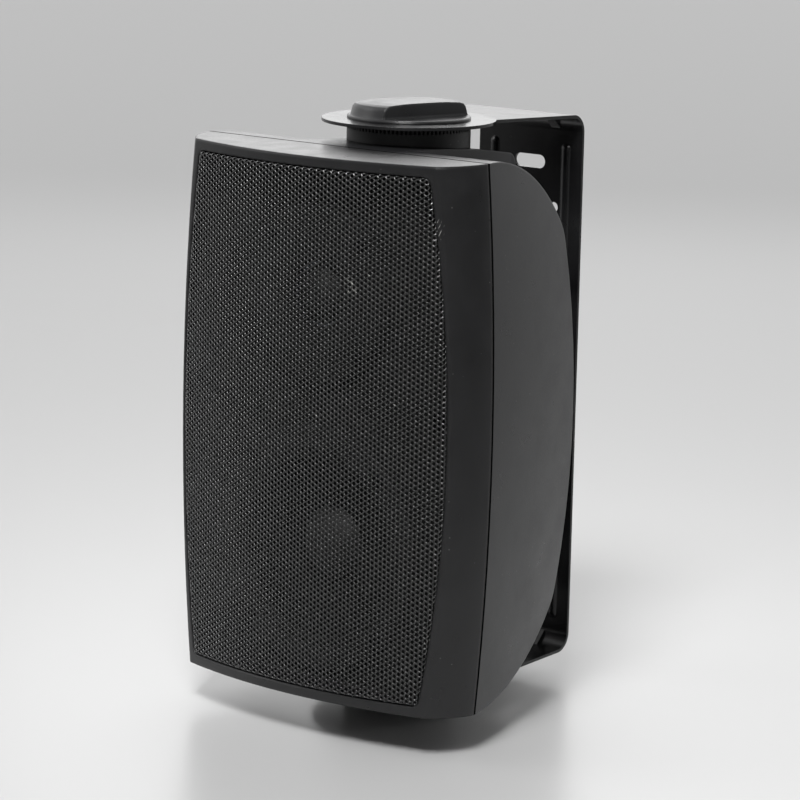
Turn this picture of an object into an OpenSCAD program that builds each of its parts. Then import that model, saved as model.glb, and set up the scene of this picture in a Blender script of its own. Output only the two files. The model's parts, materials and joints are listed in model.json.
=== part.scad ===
// Two-way wall speaker in a swivel bracket.
// The origin is the middle of the wall plate's back face. The wall is the plane y = 0, the
// speaker faces -Y and +Z is up. Cabinet pieces are drawn in the cabinet's own depth, which
// starts at the middle of the bowed front and grows towards the wall.

/* [Cabinet] */
// Height of the cabinet
cab_h = 252; // [244:1:270]
// Width of the cabinet across the seam at mid height
cab_w = 177; // [174:1:190]
// How much each side draws in from mid height to the ends
side_bow = 6; // [4:0.5:8]
// Plan radius of the bowed front
front_r = 240; // [220:5:300]
// Depth of the front bezel from the middle of the front to the seam
bezel_d = 33.5; // [32:0.5:38]
// Plan radius of the bezel's flanks
flank_r = 34; // [32:0.5:38]
// How far behind the seam the flanks are widest
flank_set = 3.7; // [2:0.1:6]
// How much the top and bottom draw in from the seam to the front
end_draft = 1; // [0.5:0.1:1.5]
// How far the bezel's front lies behind the grille's face
lip_d = 0.6; // [0.3:0.1:1.5]
// Wall of the mouldings
wall = 3; // [2.4:0.1:3.5]
// Gap at the seam between bezel and rear cabinet
seam_gap = 0.6; // [0.4:0.1:1]
// How far the seam's gasket lies inside the outer faces
seam_inset = 1.1; // [0.6:0.1:1.5]

/* [Rear cabinet] */
// Depth of the curved rear behind the seam
rear_d = 88.5; // [84:0.5:92]
// Angle at which the sides draw in towards the wall
side_taper = 12.4; // [9:0.2:14]
// Radius of the rear face, seen from the side
back_r = 346; // [320:2:380]
// Radius of the corner between rear face and shoulder
corner_r = 21; // [16:0.5:26]
// Angle at which the rear face ends
back_turn = 13.9; // [13:0.1:14.5]
// Angle at which the corner ends
corner_turn = 38.4; // [36:0.2:41]
// Width of the level spine that carries the knobs
spine_w = 58; // [54:1:64]
// How far the spine's flat rear face stands behind the curved rear
spine_rise = 3; // [2:0.5:6]
// Radius of the spine's top and bottom, seen from the side
spine_r = 540; // [480:10:640]
// Radius of the spine's rear corners
spine_corner = 6; // [4:0.5:9]

/* [Grille] */
// Height of the grille
grille_h = 240; // [234:1:242]
// Width of the grille at mid height
grille_w = 155.6; // [150:0.2:156]
// How much each side of the grille draws in towards its ends
grille_bow = 10.6; // [9.5:0.2:12]
// Radius of the grille's corners
grille_corner = 3.5; // [2.5:0.5:6]
// Thickness of the grille's sheet
grille_t = 1; // [0.8:0.1:1.2]
// Depth of the grille's folded edge
grille_fold = 5; // [3:0.5:5.5]
// Gap round the grille
grille_gap = 0.5; // [0.3:0.1:0.6]
// Distance between neighbouring holes
hole_pitch = 17.2; // [16:0.2:20]
// Web between neighbouring holes
hole_web = 3.4; // [2.6:0.2:5]

/* [Baffle] */
// Depth of the baffle's front face
baffle_y = 18.5; // [18.2:0.1:20]
// Thickness of the baffle
baffle_t = 4; // [3:0.5:5]
// Diameter of the cabinet screws
case_screw_d = 4; // [3:0.5:4.5]
// Diameter of the screw posts
post_d = 10; // [9:0.5:12]

/* [Woofer] */
// Outer diameter of the woofer's frame
woofer_d = 116; // [112:1:118]
// Height of the woofer's axis below the cabinet's middle
woofer_drop = 58.5; // [57:0.5:60]
// Thickness of the frame's flange
woofer_flange_t = 2.5; // [2:0.1:3]
// Width of the frame's flange
woofer_flange_w = 9; // [8:0.5:10]
// Width of the surround between cone and frame
surround_w = 5; // [4:0.5:7]
// Depth of the cone
cone_depth = 14; // [12:0.5:16]
// Thickness of the cone's paper
cone_t = 0.8; // [0.6:0.1:1.2]
// Diameter of the dust cap
cap_d = 34; // [30:1:38]
// Diameter of the voice coil
coil_d = 25; // [24:0.5:26]
// Travel of the cone to each side of rest
cone_travel = 4; // [3:0.5:4.5]
// Diameter of the woofer's magnet
magnet_d = 80; // [76:1:84]
// Thickness of the woofer's magnet
magnet_t = 15; // [12:0.5:16]
// Thickness of the steel plates on the magnet
plate_t = 5; // [4:0.5:6]

/* [Tweeter] */
// Diameter of the tweeter's faceplate
tweeter_d = 84; // [80:1:88]
// Height of the tweeter's axis above the cabinet's middle
tweeter_rise = 60; // [58:0.5:62]
// Thickness of the faceplate
tweeter_t = 4; // [3:0.5:5]
// Diameter of the dome
dome_d = 25; // [24:0.5:26]
// Travel of the dome to each side of rest
dome_travel = 0.3; // [0.2:0.1:0.5]
// Diameter of the tweeter's magnet
tweeter_magnet_d = 55; // [50:1:60]
// Thickness of the tweeter's magnet
tweeter_magnet_t = 9; // [7:0.5:11]

/* [Bracket] */
// Width of the bracket's sheet
bracket_w = 62; // [60:1:66]
// Thickness of the bracket's sheet
sheet_t = 1.5; // [1.2:0.1:2]
// Outer radius of the bracket's bends
bend_r = 9; // [7:0.5:12]
// How far each arm drops between its disc and the wall plate
arm_drop = 2.5; // [1.5:0.1:3.5]
// Diameter of the disc at the end of each arm
disc_d = 81.4; // [78:0.2:86]
// Distance from the wall to the swivel axis
axis_out = 97.5; // [95:0.5:105]
// Depth of the swivel axis behind the middle of the front
axis_in = 80.5; // [78:0.5:82]
// Depth of the pressed collar under each disc
collar_h = 1; // [0.6:0.1:1.4]
// Length of the wall slots
slot_l = 18.2; // [14:0.2:20]
// Width of the wall slots
slot_w = 6.6; // [5.6:0.2:8]
// Height of the slots from the middle of the wall plate
slot_z = 108; // [106:0.5:112]
// Diameter of the wall holes
hole_d = 5; // [4.5:0.5:6.5]
// Distance between the wall holes across the plate
hole_x = 30; // [26:0.5:34]
// Distance between the wall holes up the plate
hole_z = 173; // [168:1:176]
// Distance between the two pressed beads
bead_gap = 43; // [42:0.5:46]
// Width of a pressed bead
bead_w = 7; // [5:0.5:8]
// Height of the pressed beads
bead_h = 238; // [220:1:240]
// How far the beads stand out of the plate
bead_out = 2; // [1.5:0.1:2.5]
// Distance of the bends' gussets from the middle
gusset_x = 15; // [12:0.5:18]
// Width of a gusset
gusset_w = 5; // [4:0.5:7]
// Length of a gusset's legs
gusset_l = 8; // [7:0.5:10]

/* [Clamp knobs] */
// Diameter of the knob's flange
knob_d = 57.8; // [54:0.2:58]
// Height of the knob's flange
flange_h = 1.6; // [1.2:0.1:3]
// Height of the grip above the flange
grip_h = 6.8; // [5:0.2:10]
// Width of the grip
grip_w = 26; // [22:0.5:30]
// Angle at which the grip stands
grip_turn = 75; // [0:1:90]
// Diameter of the knob's steel stud
stud_d = 8; // [6:0.5:8]
// Length of thread below the arm
stud_l = 26; // [22:0.5:28]
// Height of the toothed spacer at its front
spacer_h = 8.3; // [7:0.1:10]
// Diameter of the toothed spacer
spacer_d = 57.8; // [54:0.2:58]
// Number of teeth round a spacer
teeth = 90; // [60:2:120]
// Depth of the gaps between teeth
tooth_h = 3; // [2:0.1:3.5]

/* [Terminals] */
// Width of the terminal cup's flange
cup_w = 54; // [52:1:56]
// Height of the terminal cup's flange
cup_h = 50; // [46:1:60]
// Thickness of the terminal cup's flange
cup_flange_t = 1.8; // [1.5:0.1:2.5]
// Depth of the terminal cup
cup_d = 15; // [14:0.5:18]
// Width of a push lever
lever_w = 13; // [11:0.5:14]
// Length of a push lever
lever_l = 17; // [15:0.5:19]
// Diameter of the levers' pin
pin_d = 2.4; // [2:0.1:2.6]
// Travel of a lever in degrees
lever_turn = 18; // [10:1:20]

/* [Crossover] */
// Width of the crossover board
board_w = 64; // [60:1:70]
// Height of the crossover board
board_h = 74; // [70:1:80]
// Thickness of the crossover board
board_t = 1.6; // [1.2:0.1:2]

/* [Hidden] */
$fn = 96;
// Facets round the very large arcs, of which only a short stretch is used
fine = 720;
far = 600;

half_h = cab_h / 2;
half_w = cab_w / 2;
seam_y = bezel_d;
rear_y = seam_y + seam_gap;
side_r = (half_h * half_h + side_bow * side_bow) / (2 * side_bow);
flank_x = half_w - sqrt(flank_r * flank_r - flank_set * flank_set);
grille_r = (grille_h * grille_h / 4 + grille_bow * grille_bow) / (2 * grille_bow);
front_y = -(axis_out + axis_in);

// Centres and ends of the three arcs that make the rear, from its middle to its shoulder
back_c = [rear_d - back_r, 0];
corner_c = back_c + (back_r - corner_r) * [cos(back_turn), sin(back_turn)];
// The shoulder's arc ends level with the top, above its own centre, at the seam
shoulder_r = shoulder_radius();
shoulder_c = corner_c - (shoulder_r - corner_r) * [cos(corner_turn), sin(corner_turn)];
// Radius that brings the shoulder to the top: corner_c[1] - (r - corner_r) sin + r = half_h
function shoulder_radius() =
    (half_h - corner_c[1] - corner_r * sin(corner_turn)) / (1 - sin(corner_turn));

arm_in = half_h + spacer_h;
arm_out = arm_in + sheet_t;
plate_top = arm_out - arm_drop;

// Room between the cone's neck and the motor beyond the cone's own travel
neck_room = 12;
// Depths of the woofer's and tweeter's parts
flange_y = baffle_y - woofer_flange_t;
frame_r = woofer_d / 2 - woofer_flange_w;
frame_t = 2;
cone_d = 2 * (frame_r - frame_t - surround_w);
cone_y = baffle_y + 1;
neck_y = cone_y + cone_depth;
motor_y = neck_y + neck_room + cone_travel;
baffle_back = baffle_y + baffle_t;
dome_y = baffle_y + 1.2 + dome_travel;
tweeter_motor_y = baffle_back + 1;
spine_d = rear_d + spine_rise;
spine_y = rear_y + spine_d;
spacer_in = stud_d / 2 + 0.4;
insert_d = stud_d + 4;
running = 0.05;
post_x = [grille_w / 2 - 14, grille_w / 2 - 8];
post_z = [half_h - 22, 11];
// How far the cabinet screws reach into their posts
post_grip = 17;

steel_black = "#1b1b1c";
plastic_black = "#2a2a2b";
paper_black = "#161616";

// Shapes that every piece uses

// Draws a flat shape in the plane of the front and thickens it from depth y0 to y1
module slab(y0, y1) translate([0, y1, 0]) rotate([90, 0, 0]) linear_extrude(y1 - y0) children();

// Turns a profile of radius and depth round an axis that points at the wall
module turned(x = 0, z = 0) translate([x, 0, z]) rotate([-90, 0, 0]) rotate_extrude() children();

// Draws a side view, depth and height, and thickens it across the width
module across(w) rotate([90, 0, 90]) translate([0, 0, -w / 2]) linear_extrude(w) children();

// Puts a cabinet piece in place in front of the wall
module in_cabinet() translate([0, front_y, 0]) children();

// Draws a child as it is and again upside down
module both_ends() {
    children();
    mirror([0, 0, 1]) children();
}

// A disc or rod that points at the wall
module rod(d, y0, y1, x = 0, z = 0)
    translate([x, y0, z]) rotate([-90, 0, 0]) cylinder(d = d, h = y1 - y0);

// Points along an arc round c, from angle a0 to a1 in n steps
function arc_points(c, r, a0, a1, n) =
    [for (i = [0 : n]) c + r * [cos(a0 + (a1 - a0) * i / n), sin(a0 + (a1 - a0) * i / n)]];

// The upper right quarter of an outline with bowed sides, straight ends and rounded corners
function bowed_quarter(w, h, r, c) =
    let (centre = r - w / 2)
    let (cz = h / 2 - c)
    let (cx = sqrt((r - c) * (r - c) - cz * cz) - centre)
    let (turn = asin(cz / (r - c)))
    concat(arc_points([-centre, 0], r, 0, turn, 12), arc_points([cx, cz], c, turn + 15, 90, 5));

module bowed_outline(w, h, r, c) {
    q = bowed_quarter(w, h, r, c);
    n = len(q) - 1;
    polygon([
        for (p = q) p,
        for (i = [n : -1 : 0]) [-q[i][0], q[i][1]],
        for (i = [1 : n]) [-q[i][0], -q[i][1]],
        for (i = [n : -1 : 1]) [q[i][0], -q[i][1]]
    ]);
}

// A rectangle with rounded corners
module rounded(w, h, c) {
    square([w - 2 * c, h], center = true);
    square([w, h - 2 * c], center = true);
    for (sx = [-1, 1], sz = [-1, 1]) translate([sx * (w / 2 - c), sz * (h / 2 - c)]) circle(c, $fn = 48);
}

// The same outline with sharp corners, as at the seam
module seam_outline(inset) {
    centre = side_r - half_w;
    intersection() {
        translate([-centre, 0]) circle(side_r - inset, $fn = fine);
        translate([centre, 0]) circle(side_r - inset, $fn = fine);
        square([2 * cab_w, cab_h - 2 * inset], center = true);
    }
}

// The grille's outline, grown outwards by a clearance
module grille_outline(grow = 0)
    bowed_outline(grille_w + 2 * grow, grille_h + 2 * grow, grille_r + grow, grille_corner + grow);

// Everything behind the bowed front at a given depth
module behind_front(y) translate([0, front_r + y, -far / 2]) cylinder(r = front_r, h = far, $fn = fine);

// Bezel

// One flank of the bezel: a plan arc swept round the bow of the side
module flank(inset) {
    centre = side_r - half_w;
    translate([-centre, 0, 0]) rotate([-90, 0, 0]) rotate_extrude($fn = fine) intersection() {
        union() {
            translate([centre + flank_x, seam_y + flank_set]) circle(flank_r - inset);
            translate([centre - cab_w, 0]) square([cab_w + flank_x, far / 4]);
        }
        translate([centre - cab_w, -1]) square([far, seam_y + 2]);
    }
}

// The bezel's outer form, or its inner one when inset
module bezel_form(inset, y0, y1) {
    intersection() {
        behind_front(lip_d + inset);
        flank(inset);
        mirror([1, 0, 0]) flank(inset);
        across(far) polygon([
            [y0, end_z(y0) - inset], [y1, end_z(y1) - inset],
            [y1, inset - end_z(y1)], [y0, inset - end_z(y0)]
        ]);
    }
}
// Height of the bezel's top at a depth behind the front
function end_z(d) = half_h - end_draft * max(seam_y - d, 0) / seam_y;

// Where the cabinet screws sit, seen from the front
module at_posts() {
    for (sx = [-1, 1]) {
        for (sz = [-1, 1]) translate([sx * post_x[0], 0, sz * post_z[0]]) children();
        translate([sx * post_x[1], 0, post_z[1]]) children();
    }
}

module front_bezel() color(plastic_black) in_cabinet() difference() {
    bezel_form(0, 0, seam_y);
    slab(-1, baffle_y) grille_outline(grille_gap);
    bezel_form(wall, baffle_back, seam_y + 1);
    rod(woofer_d - 2 * woofer_flange_w + 1, baffle_y - 1, baffle_back + 1, 0, -woofer_drop);
    rod(tweeter_magnet_d + 2, baffle_y - 1, baffle_back + 1, 0, tweeter_rise);
    at_posts() rod(case_screw_d + 0.6, baffle_y - 1, baffle_back + 1);
    at_woofer_screws() rod(2.6, baffle_y - 1, baffle_back + 1);
    at_tweeter_screws() rod(2.6, baffle_y - 1, baffle_back + 1);
}

// Rear cabinet

// Side view of the curved rear, from the seam to the wall side: three arcs each way that
// run into one another, from the middle of the back over its corner to the shoulder
module rear_profile(inset) {
    upper = concat(
        arc_points(back_c, back_r - inset, 0, back_turn - 0.4, 5),
        arc_points(corner_c, corner_r - inset, back_turn, corner_turn - 1, 6),
        arc_points(shoulder_c, shoulder_r - inset, corner_turn, 90, 16),
        [[0, half_h - inset]]
    );
    n = len(upper) - 1;
    polygon([
        for (p = upper) [max(p[0], 0), p[1]],
        for (i = [n : -1 : 1]) [max(upper[i][0], 0), -upper[i][1]]
    ]);
}

// One tapering side: a bowed face tilted in towards the wall
module side_limit(inset) {
    r = side_r / cos(side_taper);
    translate([half_w, seam_y, 0]) rotate([0, 0, side_taper]) translate([-r, -far / 4, 0])
        rotate([-90, 0, 0]) cylinder(r = r - inset, h = far, $fn = fine);
}

module rear_form(inset) {
    intersection() {
        translate([0, rear_y, 0]) across(far) rear_profile(inset);
        side_limit(inset);
        mirror([1, 0, 0]) side_limit(inset);
    }
}

// Side view of the spine: gently arched top and bottom, flat back, rounded corners
module spine_profile(inset) {
    r = spine_r - inset;
    c = spine_corner - min(inset, spine_corner - 1);
    cy = spine_d - inset - c;
    cz = half_h - spine_r + sqrt((r - c) * (r - c) - cy * cy);
    intersection() {
        translate([0, half_h - spine_r]) circle(r, $fn = fine);
        translate([0, spine_r - half_h]) circle(r, $fn = fine);
        translate([0, -far / 2]) square([cy, far]);
    }
    translate([0, -cz]) square([spine_d - inset, 2 * cz]);
    for (s = [-1, 1]) translate([cy, s * cz]) circle(c, $fn = 48);
}

module spine_form(inset)
    translate([0, rear_y, 0]) across(spine_w - 2 * inset) spine_profile(inset);

module rear_cabinet() color(plastic_black) in_cabinet() difference() {
    union() {
        difference() {
            union() {
                rear_form(0);
                spine_form(0);
            }
            rear_form(wall);
            spine_form(wall);
            translate([0, rear_y - 1, 0]) slab(0, 1.01) seam_outline(wall);
        }
        intersection() {
            rear_form(0);
            at_posts() rod(post_d, rear_y, spine_y);
        }
        both_ends() intersection() {
            spine_form(0);
            translate([0, axis_in, half_h - stud_l]) cylinder(d = insert_d + 2 * wall, h = stud_l);
        }
    }
    both_ends() translate([0, axis_in, half_h - stud_l + wall]) cylinder(d = insert_d, h = stud_l);
    at_posts() rod(case_screw_d - 0.5, rear_y - 1, rear_y + post_grip + 1);
    slab(spine_y - wall - 1, spine_y + 1) square([cup_tub_w + 1, cup_tub_h + 1], center = true);
    at_cup_screws() rod(2, spine_y - wall - 1, spine_y + 1);
}

module seam_gasket() color("#111111") in_cabinet() slab(seam_y, rear_y) difference() {
    seam_outline(seam_inset);
    seam_outline(wall);
}

// Screws with a domed head, one set in one node

module screw(head_d, shank_d, y_head, y_tip) {
    turned() difference() {
        union() {
            translate([0, y_head - head_d * 0.3]) square([head_d / 2, head_d * 0.3]);
            translate([0, y_head - 0.01]) square([shank_d / 2, y_tip - y_head]);
        }
        translate([0, y_head - head_d * 0.3 - 1]) square([head_d * 0.12, 2]);
        translate([head_d / 2, y_head - head_d * 0.3]) circle(head_d * 0.16, $fn = 24);
    }
}

module cabinet_screws() color("#3a3a3c") in_cabinet()
    at_posts() screw(2 * case_screw_d - 0.5, case_screw_d - 0.5, baffle_y, rear_y + post_grip);

// Grille

module grille() color(steel_black) in_cabinet() difference() {
    union() {
        intersection() {
            slab(-1, far / 4) grille_outline();
            difference() {
                behind_front(0);
                behind_front(grille_t);
            }
        }
        intersection() {
            slab(-1, far / 4) difference() {
                grille_outline();
                grille_outline(-grille_t);
            }
            difference() {
                behind_front(grille_t / 2);
                behind_front(grille_fold);
            }
        }
    }
    grille_holes();
}

// Round holes in rows set off by half a pitch, kept clear of the bowed edge
module grille_holes() {
    row_gap = hole_pitch * sin(60);
    cols = floor(grille_w / 2 / row_gap);
    rows = floor(grille_h / 2 / hole_pitch) + 1;
    hole = hole_pitch - hole_web;
    for (i = [-cols : cols], j = [-rows : rows]) {
        x = i * row_gap;
        z = (j + (i % 2 == 0 ? 0 : 0.5)) * hole_pitch;
        edge = grille_w / 2 - grille_bow * z * z * 4 / (grille_h * grille_h);
        if (abs(x) + hole / 2 + hole_web < edge && abs(z) + hole / 2 + hole_web < grille_h / 2)
            rod(hole, -2, baffle_y, x, z);
    }
}

// Woofer, drawn round its own axis

module in_woofer() in_cabinet() translate([0, 0, -woofer_drop]) children();

module at_woofer_screws() for (a = [45 : 90 : 315]) translate([0, 0, -woofer_drop])
    rotate([0, a, 0]) translate([woofer_d / 2 - 4.5, 0, 0]) children();

// Width of the six windows in the frame
window_w = 0.275 * magnet_d;

module woofer_frame() color("#202022") difference() {
    in_woofer() difference() {
        turned() difference() {
            polygon([
                [woofer_d / 2, flange_y], [woofer_d / 2, baffle_y],
                [frame_r, baffle_y], [frame_r, baffle_y + 9],
                [magnet_d / 2 - 2, motor_y - 9], [magnet_d / 2 - 2, motor_y],
                [coil_d / 2 + 6, motor_y], [coil_d / 2 + 6, motor_y - 2],
                [magnet_d / 2 - 4, motor_y - 2], [magnet_d / 2 - 4, motor_y - 10],
                [frame_r - 2, baffle_y + 8], [frame_r - 2, flange_y + 1.5],
                [frame_r - 2, flange_y]
            ]);
            translate([woofer_d / 2, flange_y]) circle(1, $fn = 24);
        }
        for (a = [0 : 60 : 300]) rotate([0, a, 0])
            translate([magnet_d / 2 - window_w / 2, baffle_y + 11, -window_w / 2])
            cube([1.4 * window_w, motor_y - baffle_y - 19, window_w]);
    }
    in_cabinet() at_woofer_screws() rod(4.2, flange_y - 1, baffle_y + 1);
}

// The drive units' screws: head, shank, and how far they reach behind the baffle
driver_head_d = 7;
driver_screw_d = 2.5;
driver_tip = 6;

module woofer_screws() color("#3a3a3c") in_cabinet()
    at_woofer_screws() screw(driver_head_d, driver_screw_d, flange_y, baffle_back + driver_tip);

module woofer_top_plate() color("#8d8f92") in_woofer() difference() {
    rod(magnet_d - 4, motor_y, motor_y + plate_t);
    rod(coil_d + 3, motor_y - 1, motor_y + plate_t + 1);
}

module woofer_magnet() color("#2b2a2c") in_woofer() difference() {
    rod(magnet_d, motor_y + plate_t, motor_y + plate_t + magnet_t);
    rod(coil_d + 12, motor_y, motor_y + plate_t + magnet_t + 1);
}

module woofer_back_plate() color("#8d8f92") in_woofer() turned() {
    translate([0, motor_y + plate_t + magnet_t]) square([magnet_d / 2 - 2, plate_t]);
    translate([0, motor_y]) square([coil_d / 2 - 1.2, plate_t + magnet_t + 0.01]);
}

// The winding is longer than the gap by the cone's travel
winding_h = plate_t + 1.5 * cone_travel;

module woofer_coil() color("#a8642c") in_woofer() turned() {
    translate([coil_d / 2, neck_y - 1]) square([0.3, motor_y + winding_h - neck_y + 1]);
    translate([coil_d / 2, motor_y]) square([0.8, winding_h]);
}

// The paper cone, a gently flared wall with its collar on the coil
module woofer_cone() color(paper_black) in_woofer() turned() difference() {
    polygon([
        [cone_d / 2, cone_y], [cone_d / 2, cone_y + cone_t],
        for (t = [0 : 0.125 : 1]) cone_point(t) + [0, cone_t * 1.4],
        [coil_d / 2 + 0.3, neck_y + 1],
        [coil_d / 2 + 0.3, neck_y - 1.5],
        for (t = [1 : -0.125 : 0]) cone_point(t)
    ]);
}
// A point along the cone's flare, from the rim to the neck
function cone_point(t) = [
    cone_d / 2 - 1.5 - t * (cone_d / 2 - 1.5 - coil_d / 2 - 1.2),
    cone_y + (neck_y - 1 - cone_y) * sin(90 * t) * 0.35 + (neck_y - 1 - cone_y) * t * 0.65
];

module woofer_dust_cap() color("#1c1c1d") in_woofer() turned() {
    r = cap_d * 0.58;
    rim = (cone_d / 2 - 1.5 - cap_d / 2) / (cone_d / 2 - 1.5 - coil_d / 2 - 1.2);
    sit = cone_point(rim)[1] - 0.2;
    intersection() {
        translate([0, sit + sqrt(r * r - cap_d * cap_d / 4)]) difference() {
            circle(r);
            circle(r - 0.6);
        }
        translate([0, sit - cap_d]) square([cap_d / 2, cap_d]);
    }
}

// The half-round rubber roll between cone and frame
module woofer_surround() color("#141414") in_woofer() turned() {
    roll = surround_w / 2;
    mid = cone_d / 2 + roll;
    translate([mid, cone_y + cone_t / 2]) intersection() {
        difference() {
            circle(roll - 0.1, $fn = 48);
            circle(roll - 0.8, $fn = 48);
        }
        translate([-roll, -roll]) square([2 * roll, roll]);
    }
    translate([cone_d / 2 + 0.1, cone_y]) square([0.7, cone_t]);
    translate([frame_r - 2.8, cone_y - 2]) square([0.75, 3]);
}

// The corrugated centring disc behind the cone
module woofer_spider() color("#6b5a2e") in_woofer() turned() {
    inner = coil_d / 2 + 0.9;
    outer = magnet_d / 2 - 4.2;
    waves = 5;
    step = (outer - inner) / waves / 2;
    spider_y = motor_y - 6.5;
    for (i = [0 : 2 * waves - 1]) translate([inner + (i + 0.5) * step, spider_y]) intersection() {
        difference() {
            circle(step / 2 + 0.2, $fn = 24);
            circle(step / 2 - 0.25, $fn = 24);
        }
        translate([-step, i % 2 == 0 ? -step : 0]) square([2 * step, step]);
    }
}

// Tweeter, drawn round its own axis

module in_tweeter() in_cabinet() translate([0, 0, tweeter_rise]) children();

module at_tweeter_screws() for (a = [45 : 90 : 315]) translate([0, 0, tweeter_rise])
    rotate([0, a, 0]) translate([tweeter_d / 2 - 5, 0, 0]) children();

module tweeter_faceplate() color("#1d1d1e") difference() {
    in_tweeter() turned() difference() {
        translate([dome_d / 2 + 2.5, baffle_y - tweeter_t])
            square([tweeter_d / 2 - dome_d / 2 - 2.5, tweeter_t]);
        // The waveguide's flare, and the rounded rim
        translate([dome_d / 2 + 2.5, baffle_y - tweeter_t]) polygon([
            [-1, -1], [14, -1],
            for (t = [0 : 0.2 : 1]) [14 * (1 - t) * (1 - t) + 0.4, (tweeter_t - 1) * t],
            [-1, tweeter_t - 1]
        ]);
        translate([tweeter_d / 2, baffle_y - tweeter_t]) circle(1.5, $fn = 24);
    }
    in_cabinet() at_tweeter_screws() rod(3.6, baffle_y - tweeter_t - 1, baffle_y + 1);
}

module tweeter_screws() color("#3a3a3c") in_cabinet()
    at_tweeter_screws() screw(driver_head_d - 1, driver_screw_d, baffle_y - tweeter_t, baffle_back + driver_tip - 2);

module tweeter_top_plate() color("#8d8f92") in_tweeter() difference() {
    rod(tweeter_magnet_d - 4, baffle_y, tweeter_motor_y + 3);
    rod(dome_d + 5, baffle_y - 1, baffle_y + 2.5);
    rod(dome_d + 1.6, baffle_y, tweeter_motor_y + 4);
}

module tweeter_magnet() color("#2b2a2c") in_tweeter() difference() {
    rod(tweeter_magnet_d, tweeter_motor_y + 3, tweeter_motor_y + 3 + tweeter_magnet_t);
    rod(dome_d + 6, tweeter_motor_y, tweeter_motor_y + 4 + tweeter_magnet_t);
}

module tweeter_back_plate() color("#8d8f92") in_tweeter() turned() {
    translate([0, tweeter_motor_y + 3 + tweeter_magnet_t]) square([tweeter_magnet_d / 2 - 2, 3]);
    translate([0, baffle_y + 4]) square([dome_d / 2 - 1, tweeter_motor_y + 3 - baffle_y - 4 + tweeter_magnet_t + 0.01]);
}

module tweeter_dome() color("#111112") in_tweeter() turned() {
    r = dome_d * 0.56;
    intersection() {
        translate([0, dome_y + sqrt(r * r - dome_d * dome_d / 4)]) difference() {
            circle(r);
            circle(r - 0.4);
        }
        translate([0, dome_y - dome_d]) square([dome_d / 2, dome_d]);
    }
    translate([dome_d / 2 - 0.5, dome_y - 0.3]) square([1.9, 0.4]);
}

module tweeter_coil() color("#a8642c") in_tweeter() turned()
    translate([dome_d / 2 - 0.1, dome_y + 0.1]) square([0.4, 6]);

// Terminal cup with its two push levers

cup_tub_w = cup_w - 10;
cup_tub_h = cup_h - 10;
cup_floor = spine_y + cup_flange_t - cup_d;
lever_x = lever_w / 2 + 1.5;
lever_z = cup_tub_h / 2 - 6;
lever_y = spine_y - 4.5;
eye_r = 3;
ear_t = 2.4;
// Height of the wire holes and their contacts
contact_z = -cup_tub_h / 2 + 7;
// How far the contacts stand out behind the cup
contact_tail = 7;
// Where a lever's lower end stops when it is pushed
stop_y = lever_y - lever_l * sin(lever_turn);
stop_z = lever_z - lever_l * cos(lever_turn);

module at_cup_screws() for (sx = [-1, 1], sz = [-1, 1])
    translate([sx * (cup_w / 2 - 2.6), 0, sz * (cup_h / 2 - 2.6)]) children();

module terminal_cup() color("#151516") in_cabinet() difference() {
    union() {
        slab(spine_y, spine_y + cup_flange_t) rounded(cup_w, cup_h, 3);
        slab(cup_floor - 2, spine_y + 0.01) square([cup_tub_w, cup_tub_h], center = true);
        for (sz = [-1, 1]) rod(7, board_y + board_t, cup_floor - 1.9, 0, sz * board_post_z);
    }
    difference() {
        slab(cup_floor, spine_y + cup_d) square([cup_tub_w - 3, cup_tub_h - 3], center = true);
        // Block behind the wire holes, the levers' stop, and the ears that hold their pin
        slab(cup_floor - 1, spine_y - 5) translate([0, contact_z + 1]) square([cup_tub_w, 10], center = true);
        slab(cup_floor - 1, stop_y - 0.3) translate([0, stop_z]) square([cup_tub_w, 3], center = true);
        for (x = [-1, 0, 1]) translate([x * 2 * lever_x - ear_t / 2, cup_floor - 1, lever_z - eye_r])
            cube([ear_t, lever_y + eye_r - cup_floor + 1, cup_tub_h]);
    }
    translate([0, lever_y, lever_z]) rotate([0, 90, 0]) cylinder(d = pin_d, h = cup_tub_w - 4, center = true);
    for (s = [-1, 1]) rod(3.4, cup_floor - 3, spine_y, s * lever_x, contact_z);
    at_cup_screws() rod(2.8, spine_y - 1, spine_y + cup_flange_t + 1);
    for (sz = [-1, 1]) rod(2.2, board_y, board_y + 8, 0, sz * board_post_z);
}

// A push lever hung from the pin at its top, its outer face hollowed for a fingertip
module lever(s) in_cabinet() translate([s * lever_x, 0, 0]) difference() {
    across(lever_w - 1.2) polygon(concat(
        arc_points([lever_y, lever_z], eye_r, -10, 190, 12),
        [
            [lever_y - 1, lever_z - lever_l + 4], [lever_y + 0.5, lever_z - lever_l],
            [lever_y + 3.4, lever_z - lever_l], [lever_y + 5, lever_z - lever_l + 3]
        ],
        arc_points([lever_y + 9.4, lever_z - lever_l / 2], 6.4, 226, 148, 8)
    ));
    translate([0, lever_y, lever_z]) rotate([0, 90, 0])
        cylinder(d = pin_d + 2 * running, h = 2 * lever_w, center = true);
}

module red_lever() color("#8c1d1d") lever(1);
module black_lever() color("#101010") lever(-1);

module lever_pin() color("#9a9da0") in_cabinet() translate([0, lever_y, lever_z]) rotate([0, 90, 0])
    cylinder(d = pin_d, h = cup_tub_w - 4.1, center = true);

module terminal_contacts() color("#b9bcc0") in_cabinet() for (s = [-1, 1])
    rod(3.3, cup_floor - contact_tail, cup_floor + 3, s * lever_x, contact_z);

module terminal_screws() color("#3a3a3c") in_cabinet() at_cup_screws()
    mirror([0, 1, 0]) screw(4.4, 2, -(spine_y + cup_flange_t), -(spine_y - wall - 3));

// Crossover, carried by two posts on the back of the terminal cup

board_y = cup_floor - 12;
board_post_z = board_h / 2 - 24;
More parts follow.
